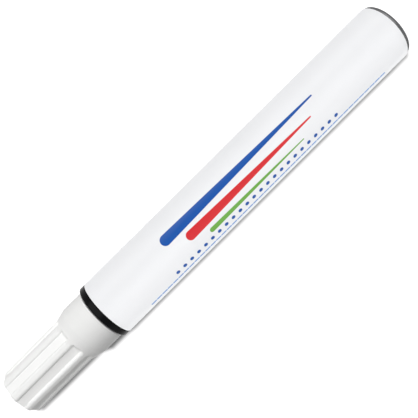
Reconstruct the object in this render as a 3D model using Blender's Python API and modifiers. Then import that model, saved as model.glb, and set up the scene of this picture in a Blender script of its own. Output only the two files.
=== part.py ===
# Adhesive remover pen: an aluminium barrel of solvent, a spring valve, a felt nib and a ribbed cap.
# It lies along X on the plane Z = 0, with its cap toward -X.
# Along the pen, a station is the distance from the barrel's closed end.

import math

import bmesh
import bpy
from mathutils import Vector

MM = 0.001

# Facets round the large and the small pieces, and in a quarter turn of a round corner
SEGMENTS = 48
SMALL_SEGMENTS = 32
CORNER_STEPS = 3

# Clearances
SEAT_GAP = 0.3 * MM
SLIDE_GAP = 0.3 * MM
CLICK_GAP = 0.15 * MM
FLOW_GAP = 0.6 * MM

# Barrel
BARREL_RADIUS = 8.5 * MM
BARREL_LENGTH = 107.2 * MM
BARREL_WALL = 0.5 * MM
BARREL_FLOOR = 0.9 * MM
BARREL_CORNER = 1.1 * MM

# Label
LABEL_THICKNESS = 0.15 * MM
LABEL_GAP = 0.1 * MM
LABEL_TO_CLOSED_END = 1.3 * MM
LABEL_TO_RIM = 0.15 * MM

# Collar: a flange between barrel and cap, a plug in the barrel and a neck in the cap
FLANGE_THICKNESS = 1.9 * MM
FLANGE_CORNER = 0.45 * MM
PLUG_LENGTH = 9.8 * MM
PLUG_WALL = 1.5 * MM
NECK_LENGTH = 7.6 * MM
NECK_WALL = 1.3 * MM
COLLAR_CORNER = 0.3 * MM

# Seal ring in its groove round the plug
SEAL_RING_THICKNESS = 0.9 * MM
SEAL_RING_SIDES = 10
SEAL_GROOVE_TO_FLANGE = 1.3 * MM

# Click: the bead round the neck and the ridge in the cap that rides over it
BEAD_HEIGHT = 0.3 * MM
BEAD_WIDTH = 0.9 * MM
BEAD_TO_FLANGE = 2.1 * MM
RIDGE_HEIGHT = 0.25 * MM
RIDGE_WIDTH = 0.7 * MM
RIDGE_TO_MOUTH = 0.6 * MM

# Cap
SKIRT_RADIUS = 7.9 * MM
SKIRT_LENGTH = 6.6 * MM
SKIRT_WALL = 1.0 * MM
SHOULDER_LENGTH = 3.8 * MM
GRIP_RADIUS = 6.95 * MM
GRIP_LENGTH = 19.9 * MM
GRIP_TAPER = 0.15 * MM
GRIP_WALL = 1.45 * MM
CAP_END_WALL = 1.2 * MM
CAP_TIP_CORNER = 0.6 * MM
CAP_MOUTH_CORNER = 0.25 * MM

# Flutes that leave the cap's ribs standing, flat-bottomed with leaning walls, and swept out at the shoulder
RIB_COUNT = 8
FLUTE_WIDTH = 2.3 * MM
FLUTE_DEPTH = 0.95 * MM
FLUTE_FLARE = 1.0
FLUTE_SWEEP = 1.3 * MM
SWEEP_STEPS = 5
FIRST_FLUTE_ANGLE = math.radians(-17)

# Liner of the cap
LINER_WALL = 0.6 * MM
LINER_CORNER = 0.8 * MM
LINER_TO_HOLDER = 0.8 * MM

# Nib and its holder
NIB_RADIUS = 2.5 * MM
NIB_REACH = 6.3 * MM
NIB_TRAVEL = 2.0 * MM
NIB_BLADE = 1.2 * MM
NIB_CHISEL_LENGTH = 3.8 * MM
NIB_CORNER = 0.4 * MM
NOSE_LENGTH = 7.9 * MM
NOSE_LAND = 3.6 * MM
NOSE_TIP_WALL = 0.7 * MM
HOLDER_FLANGE_THICKNESS = 0.8 * MM
HOLDER_FLANGE_LIP = 0.8 * MM
CHANNEL_PAIRS = 2
CHANNEL_WIDTH = 0.8 * MM
CHANNEL_DEPTH = 0.7 * MM

# Valve
WEB_THICKNESS = 1.2 * MM
VALVE_SEAL_THICKNESS = 1.0 * MM
CAGE_FLANGE_THICKNESS = 1.2 * MM
CAGE_LIP = 0.9 * MM
CAGE_LENGTH = 15.4 * MM
CAGE_WALL = 1.0 * MM
CAGE_FLOOR = 1.2 * MM
CAGE_BOSS_HEIGHT = 1.2 * MM
CAGE_INLET_RADIUS = 0.6 * MM
WINDOW_PAIRS = 2
WINDOW_WIDTH = 2.4 * MM
WINDOW_MARGIN = 2.6 * MM
STEM_PIN_RADIUS = 1.5 * MM
STEM_HEAD_THICKNESS = 1.4 * MM
STEM_GUIDE_RADIUS = 1.5 * MM
STEM_GUIDE_LENGTH = 6.0 * MM
STEM_CORNER = 0.25 * MM
SPRING_WIRE = 0.5 * MM
SPRING_TURNS = 7
SPRING_POINTS_PER_TURN = 10

# Radii that follow, from the outside in
LABEL_BORE = BARREL_RADIUS + LABEL_GAP
BODY_RADIUS = LABEL_BORE + LABEL_THICKNESS
BARREL_BORE = BARREL_RADIUS - BARREL_WALL
PLUG_RADIUS = BARREL_BORE - SEAT_GAP
VALVE_BORE = PLUG_RADIUS - PLUG_WALL
SEAL_RING_OUTER = BARREL_BORE - SEAT_GAP / 2
SEAL_RING_INNER = SEAL_RING_OUTER - SEAL_RING_THICKNESS
SEAL_GROOVE_RADIUS = SEAL_RING_INNER - SEAT_GAP / 2
SEAL_GROOVE_WIDTH = SEAL_RING_THICKNESS + 2 * SEAT_GAP
CAP_BORE = SKIRT_RADIUS - SKIRT_WALL
RIDGE_RADIUS = CAP_BORE - RIDGE_HEIGHT
BEAD_RADIUS = RIDGE_RADIUS - CLICK_GAP
NECK_RADIUS = BEAD_RADIUS - BEAD_HEIGHT
COLLAR_BORE = NECK_RADIUS - NECK_WALL
HOLDER_RADIUS = COLLAR_BORE - SEAT_GAP
HOLDER_FLANGE_RADIUS = HOLDER_RADIUS + HOLDER_FLANGE_LIP
NIB_BORE = NIB_RADIUS + SLIDE_GAP
GRIP_BORE = GRIP_RADIUS - GRIP_WALL
GRIP_TIP_RADIUS = GRIP_RADIUS - GRIP_TAPER
FLUTE_FLOOR = GRIP_RADIUS - FLUTE_DEPTH
LINER_RADIUS = GRIP_BORE - SEAT_GAP
LINER_BORE = LINER_RADIUS - LINER_WALL
NOSE_RADIUS = LINER_BORE - SLIDE_GAP
NOSE_TIP_RADIUS = NIB_BORE + NOSE_TIP_WALL
PIN_HOLE_RADIUS = STEM_PIN_RADIUS + FLOW_GAP
VALVE_SEAL_RADIUS = VALVE_BORE - SEAT_GAP
CAGE_FLANGE_RADIUS = VALVE_BORE - SEAT_GAP
CAGE_RADIUS = CAGE_FLANGE_RADIUS - CAGE_LIP
CAGE_BORE = CAGE_RADIUS - CAGE_WALL
STEM_HEAD_RADIUS = CAGE_BORE - FLOW_GAP
SPRING_RADIUS = STEM_GUIDE_RADIUS + SEAT_GAP + SPRING_WIRE / 2
CAGE_BOSS_RADIUS = STEM_GUIDE_RADIUS

# Stations that follow, from the barrel's rim forward to the cap and back to the valve
FLANGE_REAR = BARREL_LENGTH + SEAT_GAP
FLANGE_FRONT = FLANGE_REAR + FLANGE_THICKNESS
PLUG_REAR = FLANGE_REAR - PLUG_LENGTH
NECK_FRONT = FLANGE_FRONT + NECK_LENGTH
BEAD_REAR = FLANGE_FRONT + BEAD_TO_FLANGE
CAP_MOUTH = FLANGE_FRONT + SEAT_GAP
SKIRT_FRONT = CAP_MOUTH + SKIRT_LENGTH
SHOULDER_FRONT = SKIRT_FRONT + SHOULDER_LENGTH
CAP_FRONT = SHOULDER_FRONT + GRIP_LENGTH
RIDGE_REAR = CAP_MOUTH + RIDGE_TO_MOUTH
HOLDER_FLANGE_REAR = NECK_FRONT + SEAT_GAP
HOLDER_FLANGE_FRONT = HOLDER_FLANGE_REAR + HOLDER_FLANGE_THICKNESS
NOSE_FRONT = HOLDER_FLANGE_FRONT + NOSE_LENGTH
NIB_FRONT = NOSE_FRONT + NIB_REACH
LINER_REAR = HOLDER_FLANGE_FRONT + LINER_TO_HOLDER
LINER_FRONT = CAP_FRONT - CAP_END_WALL - SEAT_GAP
SEAL_GROOVE_FRONT = FLANGE_REAR - SEAL_GROOVE_TO_FLANGE
SEAL_GROOVE_REAR = SEAL_GROOVE_FRONT - SEAL_GROOVE_WIDTH
WEB_FRONT = SEAL_GROOVE_REAR
WEB_REAR = WEB_FRONT - WEB_THICKNESS
HOLDER_REAR = WEB_FRONT + SEAT_GAP
NIB_REAR = HOLDER_REAR + NIB_TRAVEL
VALVE_SEAL_FRONT = WEB_REAR - SEAT_GAP
VALVE_SEAL_REAR = VALVE_SEAL_FRONT - VALVE_SEAL_THICKNESS
CAGE_FRONT = VALVE_SEAL_REAR - SEAT_GAP
CAGE_REAR = CAGE_FRONT - CAGE_LENGTH
CAGE_FLOOR_FRONT = CAGE_REAR + CAGE_FLOOR
STEM_HEAD_REAR = CAGE_FRONT - STEM_HEAD_THICKNESS
STEM_REAR = STEM_HEAD_REAR - STEM_GUIDE_LENGTH
STEM_FRONT = NIB_REAR - SEAT_GAP
SPRING_REAR = CAGE_FLOOR_FRONT + SEAT_GAP
SPRING_FRONT = STEM_HEAD_REAR - SEAT_GAP


def clear_scene():
    for item in list(bpy.data.objects):
        bpy.data.objects.remove(item, do_unlink=True)


def new_collection(name):
    collection = bpy.data.collections.new(name)
    bpy.context.scene.collection.children.link(collection)
    return collection


def new_axis(collection):
    # The pen's axis is an empty at the closed end. Its local Z runs toward the cap, and its local X up.
    axis = bpy.data.objects.new("pen_axis", None)
    resting_height = BODY_RADIUS * math.cos(math.pi / SEGMENTS)
    axis.location = (CAP_FRONT / 2, 0, resting_height)
    axis.rotation_euler = (0, -math.pi / 2, 0)
    axis.empty_display_size = BODY_RADIUS
    collection.objects.link(axis)
    return axis


def place(item, axis, collection, station, angle=0.0, tilt=0.0):
    collection.objects.link(item)
    item.parent = axis
    item.location = (0, 0, station)
    item.rotation_euler = (tilt, 0, angle)


def corner_arc(before, here, after, corner_radius):
    # Arc that rounds the corner at here, no longer than the edges beside it allow
    arriving = here - before
    leaving = after - here
    turn = arriving.angle_signed(leaving)
    slope = math.tan(abs(turn) / 2)
    reach = min(corner_radius * slope, 0.45 * arriving.length, 0.45 * leaving.length)
    start = here - arriving.normalized() * reach
    inward = Vector((arriving.y, -arriving.x)).normalized() * math.copysign(reach / slope, turn)
    centre = start + inward
    steps = max(1, round(CORNER_STEPS * abs(turn) / (math.pi / 2)))
    arc = []
    for step in range(steps + 1):
        cosine = math.cos(-turn * step / steps)
        sine = math.sin(-turn * step / steps)
        turned_x = -inward.x * cosine + inward.y * sine
        turned_y = -inward.x * sine - inward.y * cosine
        arc.append(centre + Vector((turned_x, turned_y)))
    return arc


def rounded(corners, closed):
    # Corners are (radius, station), or (radius, station, corner radius) where the corner is round
    spots = [Vector(corner[:2]) for corner in corners]
    count = len(corners)
    outline = []
    for index, corner in enumerate(corners):
        if len(corner) < 3:
            outline.append(spots[index])
        else:
            outline += corner_arc(spots[index - 1], spots[index], spots[(index + 1) % count], corner[2])
    return outline


def turned(name, corners, station, axis, collection, segments=SEGMENTS):
    # Turn an outline about the pen's axis. It runs down the outer side, from the cap to the closed end.
    # Half a facet of turn lays a flat facet downward.
    closed = corners[0][0] > 0
    outline = rounded(corners, closed)
    edges = [(index, index + 1) for index in range(len(outline) - 1)]
    if closed:
        edges.append((len(outline) - 1, 0))
    mesh = bpy.data.meshes.new(name)
    mesh.from_pydata([(spot.x, 0, spot.y - station) for spot in outline], edges, [])
    item = bpy.data.objects.new(name, mesh)
    place(item, axis, collection, station, angle=math.pi / segments)
    screw = item.modifiers.new("Turn", "SCREW")
    screw.axis = "Z"
    screw.steps = segments
    screw.render_steps = segments
    screw.use_merge_vertices = True
    screw.merge_threshold = 0.01 * MM
    return item


def settled_mesh(item):
    # The object's shape with its modifiers or curve settings applied, welded into one closed mesh
    bpy.context.view_layer.update()
    evaluated = item.evaluated_get(bpy.context.evaluated_depsgraph_get())
    mesh = bpy.data.meshes.new_from_object(evaluated)
    shape = bmesh.new()
    shape.from_mesh(mesh)
    bmesh.ops.remove_doubles(shape, verts=shape.verts, dist=0.001 * MM)
    bmesh.ops.recalc_face_normals(shape, faces=shape.faces)
    shape.to_mesh(mesh)
    shape.free()
    return mesh


def finish(item, colour, roughness, metallic=0.0):
    # Apply the modifiers, shade the round faces smooth, keep corners sharp and give the piece its material
    mesh = settled_mesh(item)
    item.modifiers.clear()
    item.data = mesh
    mesh.shade_smooth()
    mesh.set_sharp_from_angle(angle=math.radians(35))
    material = bpy.data.materials.new(item.name)
    material.use_nodes = True
    shader = material.node_tree.nodes["Principled BSDF"]
    shader.inputs["Base Color"].default_value = (*colour, 1.0)
    shader.inputs["Roughness"].default_value = roughness
    shader.inputs["Metallic"].default_value = metallic
    mesh.materials.append(material)


def as_cutter(name, mesh, axis, collection, station, angle, tilt=0.0):
    cutter = bpy.data.objects.new(name, mesh)
    place(cutter, axis, collection, station, angle, tilt)
    cutter.hide_render = True
    cutter.display_type = "WIRE"
    return cutter


def slab_cutter(name, outline, thickness, station, angle, axis, collection, flare=0):
    # A flat outline of (radius, station) in a plane through the axis, thickened to both sides of it.
    # A flare leans both sides outwards by that share of the height over the outline's lowest point.
    curve = bpy.data.curves.new(name, "CURVE")
    curve.dimensions = "2D"
    curve.fill_mode = "BOTH"
    curve.extrude = thickness / 2
    spline = curve.splines.new("POLY")
    spline.points.add(len(outline) - 1)
    for point, (radius, height) in zip(spline.points, outline):
        point.co = (radius, height - station, 0, 1)
    spline.use_cyclic_u = True
    flat = bpy.data.objects.new(name, curve)
    collection.objects.link(flat)
    mesh = settled_mesh(flat)
    bpy.data.objects.remove(flat)
    lowest = min(radius for radius, height in outline)
    for vertex in mesh.vertices:
        vertex.co.z += math.copysign((vertex.co.x - lowest) * flare, vertex.co.z)
    return as_cutter(name, mesh, axis, collection, station, angle, tilt=math.pi / 2)


def cut(item, cutter, operation="DIFFERENCE"):
    boolean = item.modifiers.new(cutter.name, "BOOLEAN")
    boolean.operation = operation
    boolean.object = cutter
    boolean.solver = "EXACT"


def make_barrel(axis, parts):
    barrel = turned("barrel", [
        (0, BARREL_FLOOR),
        (BARREL_BORE, BARREL_FLOOR, BARREL_CORNER / 2),
        (BARREL_BORE, BARREL_LENGTH),
        (BARREL_RADIUS, BARREL_LENGTH),
        (BARREL_RADIUS, 0, BARREL_CORNER),
        (0, 0),
    ], 0, axis, parts)
    finish(barrel, (0.55, 0.56, 0.57), 0.32, 1.0)


def make_label(axis, parts):
    label_front = BARREL_LENGTH - LABEL_TO_RIM
    label = turned("label_wrap", [
        (BODY_RADIUS, label_front),
        (BODY_RADIUS, LABEL_TO_CLOSED_END),
        (LABEL_BORE, LABEL_TO_CLOSED_END),
        (LABEL_BORE, label_front),
    ], LABEL_TO_CLOSED_END, axis, parts)
    finish(label, (0.9, 0.9, 0.91), 0.3)


def make_collar(axis, parts):
    collar = turned("front_collar", [
        (COLLAR_BORE, NECK_FRONT),
        (NECK_RADIUS, NECK_FRONT, COLLAR_CORNER),
        (NECK_RADIUS, BEAD_REAR + BEAD_WIDTH),
        (BEAD_RADIUS, BEAD_REAR + 0.6 * BEAD_WIDTH),
        (BEAD_RADIUS, BEAD_REAR + 0.4 * BEAD_WIDTH),
        (NECK_RADIUS, BEAD_REAR),
        (NECK_RADIUS, FLANGE_FRONT),
        (BODY_RADIUS, FLANGE_FRONT, FLANGE_CORNER),
        (BODY_RADIUS, FLANGE_REAR, FLANGE_CORNER / 2),
        (PLUG_RADIUS, FLANGE_REAR),
        (PLUG_RADIUS, SEAL_GROOVE_FRONT),
        (SEAL_GROOVE_RADIUS, SEAL_GROOVE_FRONT),
        (SEAL_GROOVE_RADIUS, SEAL_GROOVE_REAR),
        (PLUG_RADIUS, SEAL_GROOVE_REAR),
        (PLUG_RADIUS, PLUG_REAR, 2 * COLLAR_CORNER),
        (VALVE_BORE, PLUG_REAR),
        (VALVE_BORE, WEB_REAR),
        (PIN_HOLE_RADIUS, WEB_REAR),
        (PIN_HOLE_RADIUS, WEB_FRONT),
        (COLLAR_BORE, WEB_FRONT),
    ], PLUG_REAR, axis, parts)
    finish(collar, (0.012, 0.012, 0.014), 0.2)


def make_mouth_seal(axis, parts):
    ring_radius = (SEAL_RING_OUTER + SEAL_RING_INNER) / 2
    ring_station = (SEAL_GROOVE_FRONT + SEAL_GROOVE_REAR) / 2
    circle = []
    for side in range(SEAL_RING_SIDES):
        angle = -math.tau * (side + 0.5) / SEAL_RING_SIDES
        reach = SEAL_RING_THICKNESS / 2
        circle.append((ring_radius + reach * math.cos(angle), ring_station + reach * math.sin(angle)))
    seal = turned("mouth_seal", circle, ring_station, axis, parts)
    finish(seal, (0.03, 0.03, 0.03), 0.6)


def make_holder(axis, parts, cutters):
    holder = turned("nib_holder", [
        (NIB_BORE, NOSE_FRONT),
        (NOSE_TIP_RADIUS, NOSE_FRONT, NOSE_TIP_WALL / 3),
        (NOSE_RADIUS, HOLDER_FLANGE_FRONT + NOSE_LAND),
        (NOSE_RADIUS, HOLDER_FLANGE_FRONT),
        (HOLDER_FLANGE_RADIUS, HOLDER_FLANGE_FRONT, COLLAR_CORNER),
        (HOLDER_FLANGE_RADIUS, HOLDER_FLANGE_REAR),
        (HOLDER_RADIUS, HOLDER_FLANGE_REAR),
        (HOLDER_RADIUS, HOLDER_REAR, COLLAR_CORNER),
        (NIB_BORE, HOLDER_REAR),
    ], HOLDER_REAR, axis, parts, SMALL_SEGMENTS)
    channel_reach = NIB_BORE + CHANNEL_DEPTH
    channel_rear = HOLDER_REAR - SEAT_GAP
    outline = [
        (-channel_reach, channel_rear),
        (channel_reach, channel_rear),
        (channel_reach, HOLDER_FLANGE_FRONT),
        (-channel_reach, HOLDER_FLANGE_FRONT),
    ]
    for pair in range(CHANNEL_PAIRS):
        angle = math.pi * (pair + 0.5) / CHANNEL_PAIRS
        name = f"flow_channel_{pair + 1}"
        cut(holder, slab_cutter(name, outline, CHANNEL_WIDTH, channel_rear, angle, axis, cutters))
    finish(holder, (0.85, 0.85, 0.84), 0.4)


def make_nib(axis, parts, cutters):
    nib = turned("nib", [
        (0, NIB_FRONT),
        (NIB_RADIUS, NIB_FRONT),
        (NIB_RADIUS, NIB_REAR, NIB_CORNER),
        (0, NIB_REAR),
    ], NIB_REAR, axis, parts, SMALL_SEGMENTS)
    chisel_rear = NIB_FRONT - NIB_CHISEL_LENGTH
    beyond = NIB_RADIUS + SLIDE_GAP
    outline = [
        (-beyond, NIB_REAR - SLIDE_GAP),
        (beyond, NIB_REAR - SLIDE_GAP),
        (beyond, chisel_rear),
        (NIB_BLADE / 2, NIB_FRONT - SLIDE_GAP / 3),
        (-NIB_BLADE / 2, NIB_FRONT - SLIDE_GAP / 3),
        (-beyond, chisel_rear),
    ]
    wedge = slab_cutter("chisel_wedge", outline, 2 * beyond, NIB_REAR, 0.0, axis, cutters)
    cut(nib, wedge, "INTERSECT")
    finish(nib, (0.8, 0.79, 0.75), 0.95)


def make_valve_seal(axis, parts):
    seal = turned("valve_seal", [
        (PIN_HOLE_RADIUS, VALVE_SEAL_FRONT),
        (VALVE_SEAL_RADIUS, VALVE_SEAL_FRONT),
        (VALVE_SEAL_RADIUS, VALVE_SEAL_REAR),
        (PIN_HOLE_RADIUS, VALVE_SEAL_REAR),
    ], VALVE_SEAL_REAR, axis, parts, SMALL_SEGMENTS)
    finish(seal, (0.05, 0.05, 0.05), 0.7)


def make_cage(axis, parts, cutters):
    flange_rear = CAGE_FRONT - CAGE_FLANGE_THICKNESS
    cage = turned("valve_cage", [
        (CAGE_INLET_RADIUS, CAGE_FLOOR_FRONT + CAGE_BOSS_HEIGHT),
        (CAGE_BOSS_RADIUS, CAGE_FLOOR_FRONT + CAGE_BOSS_HEIGHT, STEM_CORNER),
        (CAGE_BOSS_RADIUS, CAGE_FLOOR_FRONT),
        (CAGE_BORE, CAGE_FLOOR_FRONT),
        (CAGE_BORE, CAGE_FRONT),
        (CAGE_FLANGE_RADIUS, CAGE_FRONT),
        (CAGE_FLANGE_RADIUS, flange_rear),
        (CAGE_RADIUS, flange_rear),
        (CAGE_RADIUS, CAGE_REAR, 2 * COLLAR_CORNER),
        (CAGE_INLET_RADIUS, CAGE_REAR),
    ], CAGE_REAR, axis, parts, SMALL_SEGMENTS)
    window_rear = CAGE_FLOOR_FRONT + WINDOW_MARGIN
    window_front = flange_rear - WINDOW_MARGIN / 2
    beyond = CAGE_RADIUS + SLIDE_GAP
    outline = [
        (-beyond, window_rear),
        (beyond, window_rear),
        (beyond, window_front),
        (-beyond, window_front),
    ]
    for pair in range(WINDOW_PAIRS):
        angle = math.pi * (pair + 0.5) / WINDOW_PAIRS
        name = f"cage_window_{pair + 1}"
        cut(cage, slab_cutter(name, outline, WINDOW_WIDTH, window_rear, angle, axis, cutters))
    finish(cage, (0.8, 0.8, 0.78), 0.45)


def make_stem(axis, parts):
    stem = turned("valve_stem", [
        (0, STEM_FRONT),
        (STEM_PIN_RADIUS, STEM_FRONT, STEM_CORNER),
        (STEM_PIN_RADIUS, CAGE_FRONT),
        (STEM_HEAD_RADIUS, CAGE_FRONT, STEM_CORNER),
        (STEM_HEAD_RADIUS, STEM_HEAD_REAR, STEM_CORNER),
        (STEM_GUIDE_RADIUS, STEM_HEAD_REAR),
        (STEM_GUIDE_RADIUS, STEM_REAR, 2 * STEM_CORNER),
        (0, STEM_REAR),
    ], STEM_REAR, axis, parts, SMALL_SEGMENTS)
    finish(stem, (0.75, 0.75, 0.73), 0.4)


def least_gap(points, points_per_turn, wire):
    # Least clear distance between stretches of the wire that are over half a turn apart
    least = math.inf
    for index, point in enumerate(points):
        for other in points[index + points_per_turn // 2 + 1:]:
            least = min(least, (point - other).length - wire)
    return least


def make_spring(axis, parts):
    curve = bpy.data.curves.new("valve_spring", "CURVE")
    curve.dimensions = "3D"
    curve.bevel_depth = SPRING_WIRE / 2
    curve.bevel_resolution = 1
    curve.use_fill_caps = True
    climb = SPRING_FRONT - SPRING_REAR - SPRING_WIRE
    count = SPRING_TURNS * SPRING_POINTS_PER_TURN
    points = []
    for index in range(count + 1):
        angle = math.tau * index / SPRING_POINTS_PER_TURN
        height = SPRING_WIRE / 2 + climb * index / count
        points.append(Vector((SPRING_RADIUS * math.cos(angle), SPRING_RADIUS * math.sin(angle), height)))
    spline = curve.splines.new("POLY")
    spline.points.add(count)
    for spot, point in zip(spline.points, points):
        spot.co = (*point, 1)
    coil = bpy.data.objects.new("valve_spring_curve", curve)
    parts.objects.link(coil)
    mesh = settled_mesh(coil)
    bpy.data.objects.remove(coil)
    spring = bpy.data.objects.new("valve_spring", mesh)
    place(spring, axis, parts, SPRING_REAR)
    finish(spring, (0.6, 0.6, 0.6), 0.25, 1.0)
    gap = least_gap(points, SPRING_POINTS_PER_TURN, SPRING_WIRE)
    print(f"valve spring: least gap between turns {gap / MM:.2f} mm")


def make_cap(axis, parts, cutters):
    cap = turned("cap_shell", [
        (0, CAP_FRONT),
        (GRIP_TIP_RADIUS, CAP_FRONT, CAP_TIP_CORNER),
        (GRIP_RADIUS, SHOULDER_FRONT),
        (SKIRT_RADIUS, SKIRT_FRONT),
        (SKIRT_RADIUS, CAP_MOUTH, CAP_MOUTH_CORNER),
        (CAP_BORE, CAP_MOUTH, CAP_MOUTH_CORNER),
        (CAP_BORE, RIDGE_REAR),
        (RIDGE_RADIUS, RIDGE_REAR + 0.4 * RIDGE_WIDTH),
        (RIDGE_RADIUS, RIDGE_REAR + 0.6 * RIDGE_WIDTH),
        (CAP_BORE, RIDGE_REAR + RIDGE_WIDTH),
        (CAP_BORE, SKIRT_FRONT),
        (GRIP_BORE, SHOULDER_FRONT),
        (GRIP_BORE, CAP_FRONT - CAP_END_WALL),
        (0, CAP_FRONT - CAP_END_WALL),
    ], CAP_MOUTH, axis, parts)
    beyond = SKIRT_RADIUS + CAP_TIP_CORNER
    outline = [
        (beyond, CAP_FRONT + CAP_TIP_CORNER),
        (FLUTE_FLOOR, CAP_FRONT + CAP_TIP_CORNER),
    ]
    for step in range(SWEEP_STEPS + 1):
        angle = math.pi / 2 * step / SWEEP_STEPS
        radius = FLUTE_FLOOR + FLUTE_SWEEP * (1 - math.cos(angle))
        outline.append((radius, SHOULDER_FRONT - FLUTE_SWEEP * math.sin(angle)))
    outline.append((beyond, SHOULDER_FRONT - FLUTE_SWEEP))
    for flute in range(RIB_COUNT):
        angle = FIRST_FLUTE_ANGLE + math.tau * flute / RIB_COUNT
        name = f"flute_{flute + 1}"
        cut(cap, slab_cutter(name, outline, FLUTE_WIDTH, CAP_MOUTH, angle, axis, cutters, FLUTE_FLARE))
    finish(cap, (0.82, 0.82, 0.8), 0.35)


def make_liner(axis, parts):
    liner = turned("cap_liner", [
        (0, LINER_FRONT),
        (LINER_RADIUS, LINER_FRONT, LINER_CORNER),
        (LINER_RADIUS, LINER_REAR),
        (LINER_BORE, LINER_REAR, LINER_WALL / 2),
        (LINER_BORE, LINER_FRONT - LINER_WALL, LINER_CORNER - LINER_WALL / 2),
        (0, LINER_FRONT - LINER_WALL),
    ], LINER_REAR, axis, parts, SMALL_SEGMENTS)
    finish(liner, (0.86, 0.86, 0.85), 0.5)


def main():
    clear_scene()
    parts = new_collection("adhesive_remover_pen")
    cutters = new_collection("cutters")
    axis = new_axis(parts)
    make_barrel(axis, parts)
    make_label(axis, parts)
    make_collar(axis, parts)
    make_mouth_seal(axis, parts)
    make_holder(axis, parts, cutters)
    make_nib(axis, parts, cutters)
    make_valve_seal(axis, parts)
    make_cage(axis, parts, cutters)
    make_stem(axis, parts)
    make_spring(axis, parts)
    make_cap(axis, parts, cutters)
    make_liner(axis, parts)


main()
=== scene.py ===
import math

import bmesh
import bpy
import numpy as np
from mathutils import Euler, Matrix, Vector


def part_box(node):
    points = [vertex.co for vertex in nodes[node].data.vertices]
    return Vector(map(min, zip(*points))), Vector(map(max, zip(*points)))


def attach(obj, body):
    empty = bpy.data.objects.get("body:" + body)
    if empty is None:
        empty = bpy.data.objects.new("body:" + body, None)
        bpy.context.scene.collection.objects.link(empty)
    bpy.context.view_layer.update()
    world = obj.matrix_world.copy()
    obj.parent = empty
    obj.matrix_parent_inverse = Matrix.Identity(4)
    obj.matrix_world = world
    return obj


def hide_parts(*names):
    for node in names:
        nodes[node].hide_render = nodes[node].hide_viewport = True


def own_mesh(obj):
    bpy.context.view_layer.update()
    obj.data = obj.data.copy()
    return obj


# Adhesive remover pen, dressed for its picture. The pen lies along X with its cap toward -X.
# A station is the distance along the pen from its closed end. Sizes in the dictionaries are millimetres.

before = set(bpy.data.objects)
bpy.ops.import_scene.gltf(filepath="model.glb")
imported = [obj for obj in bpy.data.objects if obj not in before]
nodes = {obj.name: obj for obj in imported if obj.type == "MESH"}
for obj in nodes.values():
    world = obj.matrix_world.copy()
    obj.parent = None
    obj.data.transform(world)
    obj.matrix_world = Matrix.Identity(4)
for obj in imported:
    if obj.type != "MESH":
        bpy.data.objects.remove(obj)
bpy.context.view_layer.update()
mm = 0.001

labelLow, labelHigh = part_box("label_wrap")
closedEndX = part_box("barrel")[1].x
axisHeight = (labelLow.z + labelHigh.z) / 2
print("pen loaded, axis at", round(axisHeight / mm, 3), "mm")


def roundedRows(corners, arcSteps=8):
    # Rows of (radius, station) through the corners. A corner with a third number gets an arc of that
    # radius: its ends are the tangent points, and between them the arm from the centre turns evenly.
    spots = np.array([corner[:2] for corner in corners], float)
    rows = []
    for index, corner in enumerate(corners):
        here = spots[index]
        if len(corner) < 3:
            rows.append(here[None])
            continue
        back = spots[index - 1] - here
        ahead = spots[(index + 1) % len(spots)] - here
        back /= np.linalg.norm(back)
        ahead /= np.linalg.norm(ahead)
        halfAngle = np.arccos(np.clip(back @ ahead, -1, 1)) / 2
        inward = (back + ahead) / np.linalg.norm(back + ahead)
        centre = here + inward * corner[2] / np.sin(halfAngle)
        firstArm = here + back * corner[2] / np.tan(halfAngle) - centre
        lastArm = here + ahead * corner[2] / np.tan(halfAngle) - centre
        turn = np.pi - 2 * halfAngle
        share = np.linspace(0, 1, arcSteps + 1)[:, None]
        arms = np.sin((1 - share) * turn) * firstArm + np.sin(share * turn) * lastArm
        rows.append(centre + arms / np.sin(turn))
    return np.concatenate(rows)


def denserRows(rows, spacing, fromStation=-np.inf, toStation=np.inf):
    # Adds evenly spaced rows to each stretch that is longer than the spacing and lies between two stations
    middle = (rows[1:, 1] + rows[:-1, 1]) / 2
    length = np.linalg.norm(rows[1:] - rows[:-1], axis=1)
    inside = (middle > fromStation) & (middle < toStation)
    counts = np.where(inside, np.maximum(1, np.ceil(length / spacing)), 1).astype(int)
    parts = [np.arange(count) / count + index for index, count in enumerate(counts)]
    where = np.concatenate(parts + [[len(counts)]])
    index = np.arange(len(rows))
    return np.stack([np.interp(where, index, rows[:, 0]), np.interp(where, index, rows[:, 1])], -1)


def onPen(radius, angle, station):
    # A point at a radius and a station, turned by the angle from straight up toward -Y
    return np.stack([
        closedEndX - station * mm,
        -radius * np.sin(angle) * mm,
        axisHeight + radius * np.cos(angle) * mm,
    ], -1)


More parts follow.
